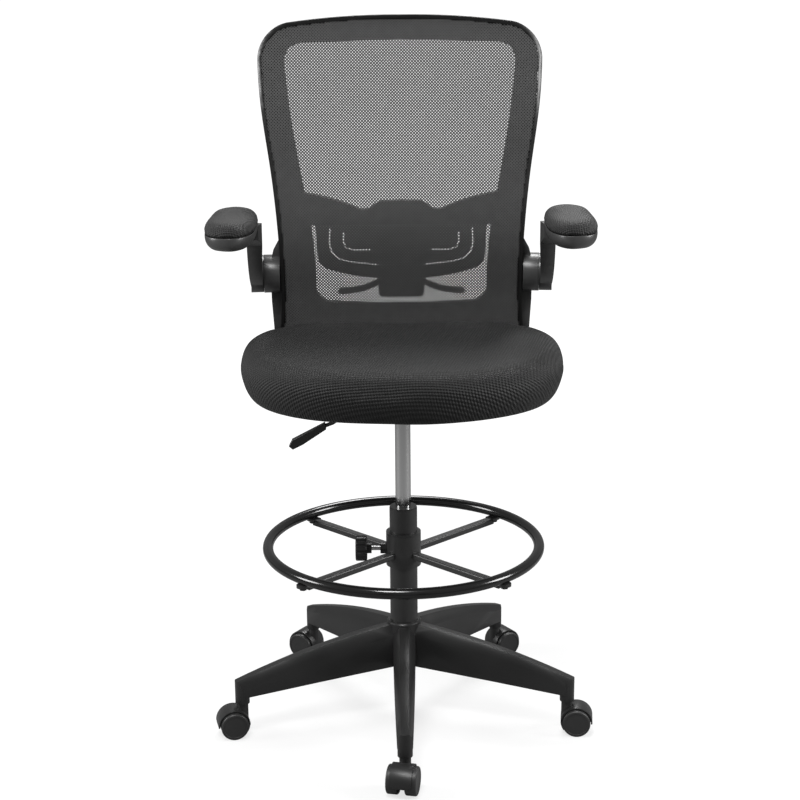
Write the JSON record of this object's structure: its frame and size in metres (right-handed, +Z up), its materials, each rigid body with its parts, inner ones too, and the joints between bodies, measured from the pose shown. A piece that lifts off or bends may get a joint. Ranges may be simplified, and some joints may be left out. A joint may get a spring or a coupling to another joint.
{
  "type": "drafting chair",
  "caption": "Tall drafting chair with a mesh back, padded seat, flip-up padded arms, gas lift, adjustable foot ring and a castor base.",
  "frame": {"origin": "on the floor, under the axis of the column", "axes": "+Z up; the sitter faces -Y; +X is on the sitter's left-hand side as they sit, and on the right of a person who looks at the chair's front"},
  "size_m": [0.6821, 0.6487, 1.2515],
  "materials": {
    "base_nylon": "satin black moulded nylon",
    "castor_nylon": "semi-gloss black nylon",
    "castor_wheel": "satin black nylon tread and disc",
    "pin_steel": "zinc-plated steel",
    "bolt_steel": "black oxide steel",
    "black_steel": "satin black powder coat",
    "bush_plastic": "black acetal",
    "bumper_rubber": "matt black rubber",
    "chrome": "bright chrome plate",
    "knob_plastic": "semi-gloss black plastic",
    "plywood": "bare moulded plywood",
    "seat_fabric": "black woven polyester over foam",
    "shell_plastic": "matt black plastic",
    "frame_plastic": "satin black moulded nylon",
    "mesh_fabric": "black open mesh fabric",
    "arm_plastic": "semi-gloss black plastic",
    "arm_fabric": "dark grey woven polyester over foam"
  },
  "bodies": {
    "base": {"star_base": "base_nylon", "castor_sockets": "pin_steel", "stand_tube": "black_steel", "guide_bush": "bush_plastic", "thrust_bearing": "pin_steel", "rubber_bumper": "bumper_rubber"},
    "lift_rod": {"piston_rod": "pin_steel", "retaining_clip": "pin_steel"},
    "upper": {"gas_cylinder": "chrome", "rod_guide": "bush_plastic", "seat_plate": "black_steel", "seat_bolts": "bolt_steel", "seat_board": "plywood", "seat_cushion": "seat_fabric", "seat_shell": "shell_plastic", "back_bar": "black_steel", "back_frame": "frame_plastic", "back_mesh": "mesh_fabric", "lumbar_plate": "frame_plastic", "back_bolts": "bolt_steel", "arm_bracket_left": "arm_plastic", "arm_bracket_right": "arm_plastic", "arm_bolts": "bolt_steel"},
    "lever": {"lever_rod": "black_steel", "lever_grip": "knob_plastic"},
    "valve_pin": {"release_pin": "pin_steel"},
    "ring_sleeve": {"ring_bush": "bush_plastic"},
    "ring": {"ring_hub": "black_steel", "ring_spokes": "black_steel", "foot_ring": "black_steel", "ring_bolts": "bolt_steel"},
    "clamp_end": {"clamp_tip": "bush_plastic"},
    "clamp": {"clamp_screw": "pin_steel", "clamp_knob": "knob_plastic"},
    "arm_left": {"arm_beam_left": "arm_plastic", "arm_shell_left": "arm_plastic", "arm_pad_left": "arm_fabric"},
    "arm_right": {"arm_beam_right": "arm_plastic", "arm_shell_right": "arm_plastic", "arm_pad_right": "arm_fabric"},
    "castor1": {"castor1_hood": "castor_nylon", "castor1_pins": "pin_steel"},
    "castor1_wheel_left_body": {"castor1_wheel_left": "castor_wheel"},
    "castor1_wheel_right_body": {"castor1_wheel_right": "castor_wheel"},
    "castor2": {"castor2_hood": "castor_nylon", "castor2_pins": "pin_steel"},
    "castor2_wheel_left_body": {"castor2_wheel_left": "castor_wheel"},
    "castor2_wheel_right_body": {"castor2_wheel_right": "castor_wheel"},
    "castor3": {"castor3_hood": "castor_nylon", "castor3_pins": "pin_steel"},
    "castor3_wheel_left_body": {"castor3_wheel_left": "castor_wheel"},
    "castor3_wheel_right_body": {"castor3_wheel_right": "castor_wheel"},
    "castor4": {"castor4_hood": "castor_nylon", "castor4_pins": "pin_steel"},
    "castor4_wheel_left_body": {"castor4_wheel_left": "castor_wheel"},
    "castor4_wheel_right_body": {"castor4_wheel_right": "castor_wheel"},
    "castor5": {"castor5_hood": "castor_nylon", "castor5_pins": "pin_steel"},
    "castor5_wheel_left_body": {"castor5_wheel_left": "castor_wheel"},
    "castor5_wheel_right_body": {"castor5_wheel_right": "castor_wheel"}
  },
  "joints": [
    {"name": "seat_swivel", "type": "hinge", "parent": "base", "child": "lift_rod", "pos_m": [0, 0, 0.105], "axis": [0, 0, 1], "continuous": true},
    {"name": "gas_lift", "type": "slide", "parent": "lift_rod", "child": "upper", "axis": [0, 0, 1], "range_m": [-0.16, 0]},
    {"name": "lever_lift", "type": "hinge", "parent": "upper", "child": "lever", "pos_m": [-0.024, 0, 0.608], "axis": [0, 1, 0], "range_deg": [0, 8], "stiffness_Nm_per_rad": 0.6, "springref_deg": -17.19},
    {"name": "pin_press", "type": "slide", "parent": "upper", "child": "valve_pin", "axis": [0, 0, -1], "range_m": [0, 0.0036]},
    {"name": "footring_lift", "type": "slide", "parent": "base", "child": "ring_sleeve", "axis": [0, 0, 1], "range_m": [-0.09, 0.02]},
    {"name": "footring_turn", "type": "hinge", "parent": "ring_sleeve", "child": "ring", "pos_m": [0, 0, 0.319], "axis": [0, 0, 1], "continuous": true},
    {"name": "clamp_tip_slide", "type": "slide", "parent": "ring", "child": "clamp_end", "axis": [-1, 0, 0], "range_m": [0, 0.0031]},
    {"name": "clamp_knob_turn", "type": "hinge", "parent": "clamp_end", "child": "clamp", "pos_m": [-0.05, 0, 0.319], "axis": [-1, 0, 0], "range_deg": [0, 720]},
    {"name": "armrest_left_flip", "type": "hinge", "parent": "upper", "child": "arm_left", "pos_m": [-0.224, 0.178, 0.792], "axis": [-0.9962, -0.0872, 0], "range_deg": [0, 90]},
    {"name": "armrest_right_flip", "type": "hinge", "parent": "upper", "child": "arm_right", "pos_m": [0.224, 0.178, 0.792], "axis": [-0.9962, 0.0872, 0], "range_deg": [0, 90]},
    {"name": "castor1_swivel", "type": "hinge", "parent": "base", "child": "castor1", "pos_m": [0, -0.307, 0.06], "axis": [0, 0, 1], "continuous": true},
    {"name": "castor1_left_spin", "type": "hinge", "parent": "castor1", "child": "castor1_wheel_left_body", "pos_m": [-0.00374, -0.32461, 0.025], "axis": [0.9781, -0.2079, 0], "continuous": true},
    {"name": "castor1_right_spin", "type": "hinge", "parent": "castor1", "child": "castor1_wheel_right_body", "pos_m": [-0.00374, -0.32461, 0.025], "axis": [0.9781, -0.2079, 0], "continuous": true},
    {"name": "castor2_swivel", "type": "hinge", "parent": "base", "child": "castor2", "pos_m": [0.29197, -0.09487, 0.06], "axis": [0, 0, 1], "continuous": true},
    {"name": "castor2_left_spin", "type": "hinge", "parent": "castor2", "child": "castor2_wheel_left_body", "pos_m": [0.30988, -0.09675, 0.025], "axis": [0.1045, 0.9945, 0], "continuous": true},
    {"name": "castor2_right_spin", "type": "hinge", "parent": "castor2", "child": "castor2_wheel_right_body", "pos_m": [0.30988, -0.09675, 0.025], "axis": [0.1045, 0.9945, 0], "continuous": true},
    {"name": "castor3_swivel", "type": "hinge", "parent": "base", "child": "castor3", "pos_m": [0.18045, 0.24837, 0.06], "axis": [0, 0, 1], "continuous": true},
    {"name": "castor3_left_spin", "type": "hinge", "parent": "castor3", "child": "castor3_wheel_left_body", "pos_m": [0.19571, 0.25791, 0.025], "axis": [-0.5299, 0.848, 0], "continuous": true},
    {"name": "castor3_right_spin", "type": "hinge", "parent": "castor3", "child": "castor3_wheel_right_body", "pos_m": [0.19571, 0.25791, 0.025], "axis": [-0.5299, 0.848, 0], "continuous": true},
    {"name": "castor4_swivel", "type": "hinge", "parent": "base", "child": "castor4", "pos_m": [-0.18045, 0.24837, 0.06], "axis": [0, 0, 1], "continuous": true},
    {"name": "castor4_left_spin", "type": "hinge", "parent": "castor4", "child": "castor4_wheel_left_body", "pos_m": [-0.19571, 0.25791, 0.025], "axis": [-0.5299, -0.848, 0], "continuous": true},
    {"name": "castor4_right_spin", "type": "hinge", "parent": "castor4", "child": "castor4_wheel_right_body", "pos_m": [-0.19571, 0.25791, 0.025], "axis": [-0.5299, -0.848, 0], "continuous": true},
    {"name": "castor5_swivel", "type": "hinge", "parent": "base", "child": "castor5", "pos_m": [-0.29197, -0.09487, 0.06], "axis": [0, 0, 1], "continuous": true},
    {"name": "castor5_left_spin", "type": "hinge", "parent": "castor5", "child": "castor5_wheel_left_body", "pos_m": [-0.30944, -0.09922, 0.025], "axis": [0.2419, -0.9703, 0], "continuous": true},
    {"name": "castor5_right_spin", "type": "hinge", "parent": "castor5", "child": "castor5_wheel_right_body", "pos_m": [-0.30944, -0.09922, 0.025], "axis": [0.2419, -0.9703, 0], "continuous": true}
  ],
  "couplings": [
    {"joint": "pin_press", "follows": "lever_lift", "m_per_rad": 0.024},
    {"joint": "clamp_tip_slide", "follows": "clamp_knob_turn", "m_per_rad": 0.00023873}
  ]
}
